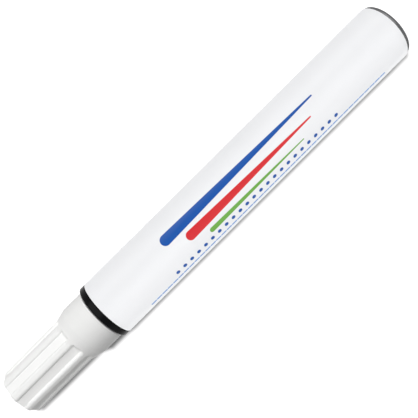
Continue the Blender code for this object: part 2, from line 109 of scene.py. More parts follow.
def meshFromGrid(name, points, closedRows, wrapMap=None):
    # Rows of points round the pen, joined row to row by quads. Each row closes into a ring, and a row on the
    # axis shrinks to one point. wrapMap holds one more column than the points, so that the map has a seam.
    rowCount, columnCount = points.shape[:2]
    firstRows = np.arange(rowCount if closedRows else rowCount - 1)
    row, column = np.meshgrid(firstRows, np.arange(columnCount), indexing="ij")
    nextRow, nextColumn = (row + 1) % rowCount, (column + 1) % columnCount
    corners = [(row, column), (row, nextColumn), (nextRow, nextColumn), (nextRow, column)]
    quads = np.stack([a * columnCount + b for a, b in corners], -1).reshape(-1, 4)
    mesh = bpy.data.meshes.new(name)
    mesh.from_pydata(points.reshape(-1, 3).tolist(), [], quads.tolist())
    if wrapMap is not None:
        mapCorners = [(row, column), (row, column + 1), (nextRow, column + 1), (nextRow, column)]
        spots = np.stack([wrapMap[a, b] for a, b in mapCorners], -2)
        layer = mesh.uv_layers.new(name="wrapMap")
        layer.data.foreach_set("uv", spots.astype(np.float32).ravel())
    shape = bmesh.new()
    shape.from_mesh(mesh)
    bmesh.ops.remove_doubles(shape, verts=shape.verts, dist=0.0002 * mm)
    bmesh.ops.recalc_face_normals(shape, faces=shape.faces)
    shape.to_mesh(mesh)
    shape.free()
    mesh.shade_smooth()
    return mesh


def addPiece(name, mesh, body, replaced, finish):
    piece = bpy.data.objects.new(name, mesh)
    bpy.context.scene.collection.objects.link(piece)
    mesh.materials.append(finish)
    # Normals weighted by area keep wide faces flat beside small fillets
    evenShade = piece.modifiers.new("evenShade", "WEIGHTED_NORMAL")
    evenShade.weight = 50
    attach(piece, body)
    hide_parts(replaced)
    print("made", name, "with", len(mesh.polygons), "faces")
    return piece


def turnedPiece(name, corners, body, replaced, finish, columns=240, rowSpacing=3.0):
    # The outline of (radius, station) corners carried round the axis. It closes into a ring unless it starts
    # on the axis.
    closed = corners[0][0] > 0
    rows = roundedRows(corners)
    rows = denserRows(np.concatenate([rows, rows[:1]]) if closed else rows, rowSpacing)
    if closed:
        rows = rows[:-1]
    angles = np.linspace(0, math.tau, columns, endpoint=False)
    points = onPen(rows[:, :1], angles[None], rows[:, 1:] + 0 * angles[None])
    return addPiece(name, meshFromGrid(name, points, closed), body, replaced, finish)


class Finish:
    # A material with short calls that add nodes and join them

    def __init__(self, name, colour, roughness, metallic=0.0):
        self.material = bpy.data.materials.new(name)
        self.material.use_nodes = True
        self.tree = self.material.node_tree
        self.shader = self.tree.nodes["Principled BSDF"]
        self.set(colour=colour, roughness=roughness)
        self.shader.inputs["Metallic"].default_value = metallic
        self.place = self.add("ShaderNodeTexCoord").outputs["Object"]

    def put(self, socket, value):
        if isinstance(value, bpy.types.NodeSocket):
            self.tree.links.new(value, socket)
        elif isinstance(value, (tuple, list)) and len(value) == 3 and socket.type == "RGBA":
            socket.default_value = (*value, 1.0)
        else:
            socket.default_value = value

    def add(self, kind, settings=None, **inputs):
        node = self.tree.nodes.new(kind)
        for key, value in (settings or {}).items():
            setattr(node, key, value)
        for key, value in inputs.items():
            self.put(node.inputs[key], value)
        return node

    def set(self, colour=None, roughness=None, bump=None):
        if colour is not None:
            self.put(self.shader.inputs["Base Color"], colour)
        if roughness is not None:
            self.put(self.shader.inputs["Roughness"], roughness)
        if bump is not None:
            self.put(self.shader.inputs["Normal"], bump)

    def calc(self, operation, *values):
        node = self.add("ShaderNodeMath", {"operation": operation})
        for socket, value in zip(node.inputs, values):
            self.put(socket, value)
        return node.outputs[0]

    def distance(self, first, second):
        # The square root of the sum of both squares
        squares = [self.calc("MULTIPLY", value, value) for value in (first, second)]
        return self.calc("SQRT", self.calc("ADD", *squares))

    def span(self, value, low, high, toLow=0.0, toHigh=1.0, smooth=False):
        # Maps low..high to toLow..toHigh and holds the ends
        kind = "SMOOTHSTEP" if smooth else "LINEAR"
        node = self.add("ShaderNodeMapRange", {"interpolation_type": kind, "clamp": True})
        for socket, number in zip(node.inputs, (value, low, high, toLow, toHigh)):
            self.put(socket, number)
        return node.outputs["Result"]

    def mix(self, share, first, second):
        node = self.add("ShaderNodeMix", {"data_type": "RGBA"})
        self.put(node.inputs["Factor"], share)
        self.put([s for s in node.inputs if s.name == "A" and s.type == "RGBA"][0], first)
        self.put([s for s in node.inputs if s.name == "B" and s.type == "RGBA"][0], second)
        return [s for s in node.outputs if s.type == "RGBA"][0]

    def aboutAxis(self, scale=(1, 1, 1)):
        # Object coordinates counted from the pen's axis, in metres times the scale
        shift = self.add("ShaderNodeVectorMath", {"operation": "SUBTRACT"})
        self.put(shift.inputs[0], self.place)
        shift.inputs[1].default_value = (0, 0, axisHeight)
        stretch = self.add("ShaderNodeVectorMath", {"operation": "MULTIPLY"})
        self.put(stretch.inputs[0], shift.outputs[0])
        stretch.inputs[1].default_value = scale
        return stretch.outputs[0]

    def noise(self, vector, scale, detail=3.0, roughness=0.5):
        inputs = {"Vector": vector, "Scale": scale, "Detail": detail, "Roughness": roughness}
        return self.add("ShaderNodeTexNoise", **inputs).outputs["Fac"]

    def bumpFrom(self, height, strength, depth, under=None):
        node = self.add("ShaderNodeBump", Strength=strength, Distance=depth * mm)
        self.put(node.inputs["Height"], height)
        if under is not None:
            self.put(node.inputs["Normal"], under)
        return node.outputs["Normal"]


def plasticFinish(name, colour, roughness, grain=0.02, specular=0.5, flow=False):
    # Moulded plastic: a slightly uneven gloss, a faint orange peel and, where asked, flow lines along the pen
    finish = Finish(name, colour, roughness)
    finish.shader.inputs["Specular IOR Level"].default_value = specular
    cloud = finish.noise(finish.place, 260.0, 4.0)
    finish.set(roughness=finish.span(cloud, 0.3, 0.7, roughness * 0.85, roughness * 1.2))
    tone = finish.span(finish.noise(finish.place, 90.0, 2.0), 0.3, 0.7)
    dim = tuple(part * 0.975 for part in colour)
    finish.set(colour=finish.mix(tone, dim, colour))
    peel = finish.bumpFrom(finish.noise(finish.place, 2600.0, 2.0), 0.5, grain)
    if flow:
        lines = finish.noise(finish.aboutAxis((60, 900, 900)), 1.0, 3.0)
        peel = finish.bumpFrom(lines, 0.4, grain * 0.6, peel)
    finish.set(bump=peel)
    return finish


photoView = {
    "lensPixels": 550.3,       # focal length in pixels of the 418 pixel picture
    "pictureSize": 418,
    "aboveAxis": 150.0,        # the camera's place over the pen's axis, along it and across it
    "along": -2.62,
    "across": 5.46,
    "tilt": (-0.0398, -0.0223, 0.0035),  # radians
    "roll": -45.0,             # degrees
}
camera = bpy.data.cameras.new("photoCamera")
camera.sensor_width = 36.0
camera.lens = photoView["lensPixels"] / photoView["pictureSize"] * camera.sensor_width
camera.clip_start = 0.005
cameraObject = bpy.data.objects.new("photoCamera", camera)
bpy.context.scene.collection.objects.link(cameraObject)
turn = Euler(photoView["tilt"]).to_matrix() @ Matrix.Rotation(math.radians(photoView["roll"]), 3, "Z")
spot = Vector((photoView["along"] * mm, photoView["across"] * mm, axisHeight + photoView["aboveAxis"] * mm))
cameraObject.matrix_world = Matrix.Translation(spot) @ turn.to_4x4()
bpy.context.scene.camera = cameraObject

# Lamps whose names start with film light the film alone, and the others light all but the film. A lamp's
# place along the pen, its distance and its size are metres.
lamps = {
    "keyLamp": {"degrees": -42, "along": -0.05, "away": 0.55, "size": (0.80, 0.30), "level": 0.72},
    "topLamp": {"degrees": -10, "along": -0.05, "away": 0.55, "size": (0.80, 0.30), "level": 0.60},
    "rightFill": {"degrees": 70, "along": -0.05, "away": 0.55, "size": (0.80, 0.30), "level": 0.20},
    "filmLeft": {"degrees": -50, "along": 0.01, "away": 0.55, "size": (0.80, 0.30), "level": 1.23},
    "filmTop": {"degrees": 30, "along": 0.01, "away": 0.55, "size": (0.80, 0.30), "level": 0.50},
    "filmRight": {"degrees": 70, "along": 0.02, "away": 0.50, "size": (0.70, 0.22), "level": 0.87},
}
skyLevel = 0.03


def addLamp(name, sizes):
    # An area lamp in the plane square to the pen, turned from straight up toward -Y by its degrees.
    # Its watts follow from the level, the share of white that it gives to a face turned square to it.
    angle = math.radians(sizes["degrees"])
    lamp = bpy.data.lights.new(name, "AREA")
    lamp.shape = "RECTANGLE"
    lamp.size, lamp.size_y = sizes["size"]
    lamp.energy = sizes["level"] * math.pi ** 2 * sizes["away"] ** 2
    lampObject = bpy.data.objects.new(name, lamp)
    bpy.context.scene.collection.objects.link(lampObject)
    direction = Vector((0, -math.sin(angle), math.cos(angle)))
    lampObject.location = Vector((sizes["along"], 0, axisHeight)) + direction * sizes["away"]
    lampObject.rotation_euler = (math.atan2(direction.y, -direction.z) + math.pi, 0, 0)
    return lampObject


lampObjects = {name: addLamp(name, sizes) for name, sizes in lamps.items()}

# The sky is white to look at, to mirror and to see through, and lights the pen only a little
world = bpy.data.worlds.new("studioSky")
bpy.context.scene.world = world
world.use_nodes = True
skyTree = world.node_tree
skyTree.nodes.clear()
path = skyTree.nodes.new("ShaderNodeLightPath")
seen = path.outputs["Is Camera Ray"]
for ray in ("Is Glossy Ray", "Is Transmission Ray"):
    either = skyTree.nodes.new("ShaderNodeMath")
    either.operation = "MAXIMUM"
    skyTree.links.new(seen, either.inputs[0])
    skyTree.links.new(path.outputs[ray], either.inputs[1])
    seen = either.outputs[0]
level = skyTree.nodes.new("ShaderNodeMapRange")
skyTree.links.new(seen, level.inputs["Value"])
level.inputs["To Min"].default_value = skyLevel
level.inputs["To Max"].default_value = 1.0
sky = skyTree.nodes.new("ShaderNodeBackground")
sky.inputs["Color"].default_value = (1, 1, 1, 1)
skyTree.links.new(level.outputs["Result"], sky.inputs["Strength"])
skyOut = skyTree.nodes.new("ShaderNodeOutputWorld")
skyTree.links.new(sky.outputs[0], skyOut.inputs["Surface"])

floorLook = {
    "reach": 1500.0,
    "below": 0.03,             # the round film dips this far under the facets of its solid
    "colour": (0.32, 0.32, 0.32),
    "paintedShadowGlow": 0.07,          # painted shadow: the low glow beside the pen, under which its real shadow also shows
    "glowFar": 0.96,
    "lampsFadeFrom": 60.0,     # between these distances the glow rises from glowFar to full white
    "lampsFadeTo": 400.0,
    "rampFrom": -0.7,          # the painted shadow's glow rises between these distances from the pen's side
    "rampTo": 1.25,
    # The painted shadow sits off the axis toward -Y, the side away from the key lamp
    "centreAcross": -1.2,
    "ends": (-73.8, 74.3),     # the painted shadow's dark part along the pen, hidden under its nearer end
    "corner": 1.4,
    # Half the width of the painted shadow's dark part, and the place along the pen that it holds from
    "steps": [(8.75, None), (8.4, -39.6), (6.95, -48.2)],
    "stepSoft": 1.5,
    # Where the cap goes when it is pulled, the floor glows less and is paler, so that the cap's shadow shows
    "pulledCap": {
        "middle": (-93.0, 0.0), "half": (10.0, 9.0), "soft": 8.0, "glow": 0.36, "colour": (0.85, 0.85, 0.85),
    },
}


def addFloor(look):
    # A pale plane whose glow for the camera rises with the distance from the pen, so that a painted shadow
    # follows the pen's outline beside the lamps' real shadow
    reach = look["reach"] * mm
    height = -look["below"] * mm
    mesh = bpy.data.meshes.new("floor")
    spots = np.array([(-1, -1), (1, -1), (1, 1), (-1, 1)]) * reach
    mesh.from_pydata([(x, y, height) for x, y in spots], [], [(0, 1, 2, 3)])
    floor = bpy.data.objects.new("floor", mesh)
    bpy.context.scene.collection.objects.link(floor)
    finish = Finish("paleFloor", look["colour"], 0.9)
    finish.shader.inputs["Specular IOR Level"].default_value = 0.0
    parts = finish.add("ShaderNodeSeparateXYZ", Vector=finish.place)
    side = look["steps"][0][0] * mm
    for (wider, _), (narrower, place) in zip(look["steps"], look["steps"][1:]):
        low, high = (place - look["stepSoft"]) * mm, (place + look["stepSoft"]) * mm
        drop = finish.span(parts.outputs["X"], low, high, (wider - narrower) * mm, 0.0)
        side = finish.calc("SUBTRACT", side, drop)
    # The distance from the painted shadow's dark part, a rectangle with round corners: the distances past it
    # sideways and endways from a corner's centre, joined as the sides of a right angle, less the corner's
    # radius
    across = finish.calc("ABSOLUTE", finish.calc("SUBTRACT", parts.outputs["Y"], look["centreAcross"] * mm))
    sideways = finish.calc("SUBTRACT", across, finish.calc("SUBTRACT", side, look["corner"] * mm))
    capEnd, closedEnd = look["ends"]
    beyondCap = finish.calc("SUBTRACT", (capEnd + look["corner"]) * mm, parts.outputs["X"])
    beyondEnd = finish.calc("SUBTRACT", parts.outputs["X"], (closedEnd - look["corner"]) * mm)
    endways = finish.calc("MAXIMUM", beyondCap, beyondEnd)
    sideways, endways = finish.calc("MAXIMUM", sideways, 0.0), finish.calc("MAXIMUM", endways, 0.0)
    away = finish.calc("SUBTRACT", finish.distance(sideways, endways), look["corner"] * mm)
    low, high = look["rampFrom"] * mm, look["rampTo"] * mm
    glow = finish.span(away, low, high, look["paintedShadowGlow"], look["glowFar"], smooth=True)
    # Far from the lamps the floor keeps its white by glow alone
    low, high = look["lampsFadeFrom"] * mm, look["lampsFadeTo"] * mm
    glow = finish.calc("ADD", glow, finish.span(away, low, high, 0.0, 1 - look["glowFar"]))
    pulled = look["pulledCap"]
    share = 1.0
    for axis, middle, half in zip("XY", pulled["middle"], pulled["half"]):
        off = finish.calc("ABSOLUTE", finish.calc("SUBTRACT", parts.outputs[axis], middle * mm))
        near = finish.span(off, half * mm, (half + pulled["soft"]) * mm, 1.0, 0.0, smooth=True)
        share = finish.calc("MULTIPLY", share, near)
    lessGlow = finish.calc("MULTIPLY", share, look["glowFar"] - pulled["glow"])
    glow = finish.calc("SUBTRACT", glow, lessGlow)
    finish.put(finish.shader.inputs["Base Color"], finish.mix(share, look["colour"], pulled["colour"]))
    lightPath = finish.add("ShaderNodeLightPath")
    shown = lightPath.outputs["Is Camera Ray"]
    for ray in ("Is Glossy Ray", "Is Transmission Ray"):
        shown = finish.calc("MAXIMUM", shown, lightPath.outputs[ray])
    finish.shader.inputs["Emission Color"].default_value = (1, 1, 1, 1)
    finish.put(finish.shader.inputs["Emission Strength"], finish.calc("MULTIPLY", glow, shown))
    mesh.materials.append(finish.material)


addFloor(floorLook)
print("camera, lamps and floor ready")


barrelSizes = {
    "radius": 8.5,
    "length": 107.2,
    "wall": 0.5,
    "floor": 0.9,
    "corner": 0.8,
    "endRing": 5.6,            # radius of the faint step that the drawing punch leaves on the closed end
    "endRingDepth": 0.12,
    "darkRimReflectionFrom": 7.0,            # between these radii the flat's colour turns into the rim's painted dark reflection
    "darkRimReflectionTo": 7.6,
    "endLinesFrom": 0.6,       # between these stations the lines along the side turn into rings
    "endLinesTo": 0.2,
}


def aluminiumFinish(sizes):
    # Drawn aluminium: fine lines along the side and round the end, a slightly uneven gloss, and a painted
    # dark reflection on the rim of the end
    finish = Finish("drawnAluminium", (0.55, 0.56, 0.57), 0.3, 1.0)
    # The greyed specular tint paints a darker reflection at grazing angles
    finish.put(finish.shader.inputs["Specular Tint"], (0.35, 0.35, 0.36))
    parts = finish.add("ShaderNodeSeparateXYZ", Vector=finish.aboutAxis())
    radius = finish.distance(parts.outputs["Y"], parts.outputs["Z"])
    sideLines = finish.noise(finish.aboutAxis((40, 5200, 5200)), 1.0, 3.0)
    rings = finish.add("ShaderNodeCombineXYZ", X=finish.calc("MULTIPLY", radius, 6000.0))
    endLines = finish.noise(rings.outputs[0], 1.0, 3.0)
    low, high = closedEndX - sizes["endLinesFrom"] * mm, closedEndX - sizes["endLinesTo"] * mm
    onEnd = finish.span(parts.outputs["X"], low, high)
    lines = finish.add("ShaderNodeMix", {"data_type": "FLOAT"})
    finish.put(lines.inputs["Factor"], onEnd)
    finish.put(lines.inputs["A"], sideLines)
    finish.put(lines.inputs["B"], endLines)
    # The rim is painted darker than the flat of the end: a painted dark reflection
    cloud = finish.span(finish.noise(finish.place, 150.0, 4.0), 0.3, 0.7)
    paintedRimReflection = finish.mix(cloud, (0.105, 0.106, 0.109), (0.145, 0.147, 0.15))
    flat = finish.mix(cloud, (0.44, 0.445, 0.45), (0.52, 0.525, 0.53))
    finish.set(
        colour=finish.mix(finish.span(radius, sizes["darkRimReflectionFrom"] * mm, sizes["darkRimReflectionTo"] * mm), flat, paintedRimReflection),
        roughness=finish.span(lines.outputs[0], 0.3, 0.7, 0.22, 0.38),
        bump=finish.bumpFrom(lines.outputs[0], 0.35, 0.02),
    )
    return finish.material


def makeBarrel(sizes):
    bore = sizes["radius"] - sizes["wall"]
    ring = sizes["endRing"]
    depth = sizes["endRingDepth"]
    corners = [
        (0, sizes["floor"]),
        (bore, sizes["floor"], 0.55),
        (bore, sizes["length"], 0.12),
        (sizes["radius"], sizes["length"], 0.12),
        (sizes["radius"], 0, sizes["corner"]),
        (ring + 0.3, 0, 0.3),
        (ring, depth, 0.3),
        (0, depth),
    ]
    finish = aluminiumFinish(sizes)
    return turnedPiece("barrelCan", corners, "pen_body", "barrel", finish, rowSpacing=4.0)


makeBarrel(barrelSizes)


labelSizes = {
    "bore": 8.6,
    "radius": 8.75,
    "fromClosedEnd": 1.3,
    "toStation": 107.42,
    "edge": 0.05,
    "columns": 288,
    "overlap": 21.5,           # where the film overlaps itself, round the pen from its top
    "overlapStep": 0.1,
    "overlapLine": 0.07,
}

labelPrint = {
    "blue": (0.012, 0.085, 0.36),
    "red": (0.60, 0.024, 0.030),
    "green": (0.13, 0.36, 0.045),
    "paleBlue": (0.16, 0.32, 0.62),
    "edgeBlur": 0.05,
    # Each stripe runs from its thick round start to its fine end, and holds its colour, where it starts and
    # ends along the pen, where it lies across it, and its radius at the start and the end
    "stripes": [
        ("blue", -13.0, 40.0, -2.1, 1.55, 0.22),
        ("red", -7.5, 36.0, 1.7, 1.35, 0.20),
        ("green", -2.5, 31.0, 4.9, 0.75, 0.16),
    ],
    # A row of dots, and a row of dashes that are dots drawn out by their length to either side
    "rows": [
        {
            "colour": "blue", "from": -18.0, "to": 43.2, "across": 7.1,
            "pitch": 2.55, "length": 0.0, "radius": 0.6,
        },
        {
            "colour": "paleBlue", "from": -28.0, "to": 60.0, "across": 9.3,
            "pitch": 2.0, "length": 0.62, "radius": 0.36,
        },
    ],
}


def printOn(finish, along, across, ground):
    # Tapered stripes, a row of dots and a row of dashes. Each is where the distance to a line or a point,
    # less its half width, falls below zero.
    blur = labelPrint["edgeBlur"]

    def lay(ground, distance, colour):
        return finish.mix(finish.span(distance, -blur, blur, 1.0, 0.0), ground, labelPrint[colour])

    for colour, start, end, offset, startRadius, endRadius in labelPrint["stripes"]:
        share = finish.span(along, start, end)
        nearest = finish.calc("MULTIPLY_ADD", share, end - start, start)
        gap = finish.calc("SUBTRACT", along, nearest)
        side = finish.calc("SUBTRACT", across, offset)
        width = finish.calc("MULTIPLY_ADD", share, endRadius - startRadius, startRadius)
        ground = lay(ground, finish.calc("SUBTRACT", finish.distance(gap, side), width), colour)
    for row in labelPrint["rows"]:
        turns = finish.calc("DIVIDE", finish.calc("SUBTRACT", along, row["from"]), row["pitch"])
        within = finish.calc("ABSOLUTE", finish.calc("SUBTRACT", finish.calc("FRACT", turns), 0.5))
        gap = finish.calc("SUBTRACT", finish.calc("MULTIPLY", within, row["pitch"]), row["length"])
        side = finish.calc("SUBTRACT", across, row["across"])
        reach = finish.distance(finish.calc("MAXIMUM", gap, 0.0), side)
        before = finish.calc("SUBTRACT", row["from"], along)
        beyond = finish.calc("SUBTRACT", along, row["to"])
        distance = finish.calc("MAXIMUM", finish.calc("SUBTRACT", reach, row["radius"]), before)
        ground = lay(ground, finish.calc("MAXIMUM", distance, beyond), row["colour"])
    return ground


def filmFinish(sizes):
    # White printed film: a cool white, soft gloss, a faint peel and the line where the film overlaps itself
    white = (0.805, 0.81, 0.825)
    finish = Finish("printedFilm", white, 0.34)
    finish.shader.inputs["Specular IOR Level"].default_value = 0.14
    wrap = finish.add("ShaderNodeUVMap", {"uv_map": "wrapMap"})
    parts = finish.add("ShaderNodeSeparateXYZ", Vector=wrap.outputs[0])
    along, across = parts.outputs["X"], parts.outputs["Y"]
    tone = finish.span(finish.noise(finish.place, 70.0, 3.0), 0.3, 0.7)
    ground = finish.mix(tone, (0.793, 0.798, 0.813), white)
    overlap = finish.calc("ABSOLUTE", finish.calc("SUBTRACT", across, sizes["overlap"]))
    line = finish.span(overlap, 0.0, sizes["overlapLine"], 0.35, 0.0)
    ground = finish.mix(line, ground, (0.55, 0.56, 0.58))
    finish.set(colour=printOn(finish, along, across, ground))
    cloud = finish.noise(finish.place, 240.0, 4.0)
    finish.set(roughness=finish.span(cloud, 0.3, 0.7, 0.30, 0.39))
    peel = finish.bumpFrom(finish.noise(finish.place, 1800.0, 2.0), 0.4, 0.015)
    halfStep = sizes["overlapStep"] / 2
    step = finish.span(across, sizes["overlap"] - halfStep, sizes["overlap"] + halfStep)
    finish.set(bump=finish.bumpFrom(step, 0.5, 0.05, peel))
    return finish.material


def makeLabel(sizes):
    # A thin ring whose map gives millimetres along the pen and round it, counted from the top
    corners = [
        (sizes["radius"], sizes["toStation"], sizes["edge"]),
        (sizes["radius"], sizes["fromClosedEnd"], sizes["edge"]),
        (sizes["bore"], sizes["fromClosedEnd"], sizes["edge"]),
        (sizes["bore"], sizes["toStation"], sizes["edge"]),
    ]
    rows = roundedRows(corners, 3)
    rows = denserRows(np.concatenate([rows, rows[:1]]), 2.0)[:-1]
    angles = np.linspace(-math.pi, math.pi, sizes["columns"] + 1)
    points = onPen(rows[:, :1], angles[None, :-1], rows[:, 1:] + 0 * angles[None, :-1])
    stationMid = closedEndX / mm
    alongMap = stationMid - rows[:, 1:] + 0 * angles[None]
    acrossMap = sizes["radius"] * angles[None] + 0 * rows[:, 1:]
    wrapMap = np.stack([alongMap, acrossMap], -1)
    mesh = meshFromGrid("labelFilm", points, True, wrapMap)
    return addPiece("labelFilm", mesh, "pen_body", "label_wrap", filmFinish(sizes))


labelFilm = makeLabel(labelSizes)


collarSizes = {
    "rear": 107.5, "front": 109.4, "radius": 8.75, "frontCorner": 0.45, "rearCorner": 0.22,
    "neckFront": 117.0, "neckRadius": 6.2, "beadRadius": 6.5, "beadRear": 111.5, "beadWidth": 0.9,
    "bore": 4.9, "plugRadius": 7.7, "plugRear": 97.7, "valveBore": 6.2,
    "grooveRadius": 6.8, "grooveRear": 104.7, "grooveFront": 106.2, "webRear": 103.5, "webHole": 2.1,
}


def makeCollar(sizes):
    beadMid = sizes["beadRear"] + sizes["beadWidth"] / 2
    corners = [
        (sizes["bore"], sizes["neckFront"], 0.15),
        (sizes["neckRadius"], sizes["neckFront"], 0.3),
        (sizes["neckRadius"], sizes["beadRear"] + sizes["beadWidth"], 0.2),
        (sizes["beadRadius"], beadMid, 0.3),
        (sizes["neckRadius"], sizes["beadRear"], 0.2),
        (sizes["neckRadius"], sizes["front"], 0.12),
        (sizes["radius"], sizes["front"], sizes["frontCorner"]),
        (sizes["radius"], sizes["rear"], sizes["rearCorner"]),
        (sizes["plugRadius"], sizes["rear"], 0.1),
        (sizes["plugRadius"], sizes["grooveFront"], 0.1),
        (sizes["grooveRadius"], sizes["grooveFront"]),
        (sizes["grooveRadius"], sizes["grooveRear"]),
        (sizes["plugRadius"], sizes["grooveRear"], 0.1),
        (sizes["plugRadius"], sizes["plugRear"], 0.5),
        (sizes["valveBore"], sizes["plugRear"], 0.1),
        (sizes["valveBore"], sizes["webRear"]),
        (sizes["webHole"], sizes["webRear"]),
        (sizes["webHole"], sizes["grooveRear"]),
        (sizes["bore"], sizes["grooveRear"]),
    ]
    finish = plasticFinish("glossyBlackPlastic", (0.003, 0.003, 0.0035), 0.22, 0.01, 0.05)
    return turnedPiece("collarRing", corners, "pen_body", "front_collar", finish.material)


makeCollar(collarSizes)


capSizes = {
    "mouth": 109.7, "skirtFront": 116.3, "shoulderFront": 120.1, "front": 140.0,
    "skirtRadius": 7.9, "gripRadius": 6.95, "tipRadius": 6.8, "tipCorner": 0.6, "mouthCorner": 0.25,
    "skirtEdge": 1.2, "shoulderEdge": 1.2,
    "bore": 6.9, "gripBore": 5.5, "endWall": 1.2, "ridgeRadius": 6.65, "ridgeRear": 110.3, "ridgeWidth": 0.7,
    "gateRadius": 1.3, "gateDepth": 0.2,
    "flutes": 8, "firstFlute": 17.0, "fluteWidth": 2.4, "fluteFloor": 6.0, "fluteSweep": 1.3,
    "wallSlope": 57.0, "ribEdge": 0.85, "fluteRoot": 0.2,
    "mostHalfWidth": 0.24,     # the largest share of the radius that half a flute takes
    "filletFade": 0.5,         # a flute shallower than this has smaller fillets
    "arcSteps": 10, "fluteRowSpacing": 0.05, "fluteRowsPast": (0.15, 0.1),
    # The next two entries give where the skirt's painted shade fades in, and the skirt's darker painted
    # colour
    "paintedSkirtShadeStations": (117.0, 121.0),
    "skirtPaintedShadeColour": (0.86, 0.86, 0.85), "gripColour": (0.935, 0.935, 0.925),
}


def flutedRows(radius, station, outer, sizes):
    # Cross-section of the cap at each row, as (radius, angle), for one share of the round centred on a flute.
    # The floor is flat at its height over the axis, and each wall leans out from it at the wall's slope. A
    # fillet joins floor and wall, and another joins the wall to the rib's circle: its centre is one fillet
    # radius from the wall's line and as far inside the circle. At the shoulder the floor rises on a quarter
    # circle until it leaves the surface. A row with no flute is a plain circle.
    sweep = sizes["fluteSweep"]
    slope = math.radians(sizes["wallSlope"])
    into = np.clip((sizes["shoulderFront"] - station) / sweep, 0, 1)
    floor = sizes["fluteFloor"] + sweep * (1 - np.sqrt(1 - into ** 2))
    cutRows = outer & (station > sizes["shoulderFront"] - sweep)
    floor = np.where(cutRows, floor, 1e3)[:, None]
    radius = radius[:, None]
    half = np.minimum(sizes["fluteWidth"] / 2, sizes["mostHalfWidth"] * radius)
    footTop = np.sqrt(radius ** 2 - half ** 2)
    base = np.minimum(floor, footTop)
    share = np.clip((footTop - base) / sizes["filletFade"], 0, 1)
    root, edge = sizes["fluteRoot"] * share, sizes["ribEdge"] * share

    flat = half - root * math.tan(slope / 2)
    floorAcross = np.linspace(0, 1, 8, endpoint=False)[None] * flat
    floorUp = np.minimum(floor, np.sqrt(radius ** 2 - floorAcross ** 2))

    arm = np.linspace(0, slope, 5)[None]
    rootAcross = flat + root * np.sin(arm)
    rootUp = base + root * (1 - np.cos(arm))

    besideAcross = half + edge * math.sin(slope)
    besideUp = base - edge * math.cos(slope)
    alongWall = besideAcross * math.cos(slope) + besideUp * math.sin(slope)
    spare = alongWall ** 2 - besideAcross ** 2 - besideUp ** 2 + (radius - edge) ** 2
    climb = np.sqrt(np.maximum(spare, 0)) - alongWall
    edgeAcross = besideAcross + climb * math.cos(slope)
    edgeUp = besideUp + climb * math.sin(slope)
    firstArm = math.pi / 2 + slope
    lastArm = np.arctan2(edgeUp, edgeAcross)
    arm = firstArm + (lastArm - firstArm) * np.linspace(0, 1, 10)[None]
    ribAcross = edgeAcross + edge * np.cos(arm)
    ribUp = edgeUp + edge * np.sin(arm)

    ribFrom = np.arctan2(edgeAcross, edgeUp)
    ribAngle = ribFrom + (math.pi / sizes["flutes"] - ribFrom) * np.linspace(0, 1, 5)[None, 1:]
    across = np.concatenate([floorAcross, rootAcross, ribAcross, radius * np.sin(ribAngle)], 1)
    up = np.concatenate([floorUp, rootUp, ribUp, radius * np.cos(ribAngle)], 1)
    across = np.concatenate([-across[:, :0:-1], across[:, :-1]], 1)
    up = np.concatenate([up[:, :0:-1], up[:, :-1]], 1)
    return np.hypot(across, up), np.arctan2(across, up)


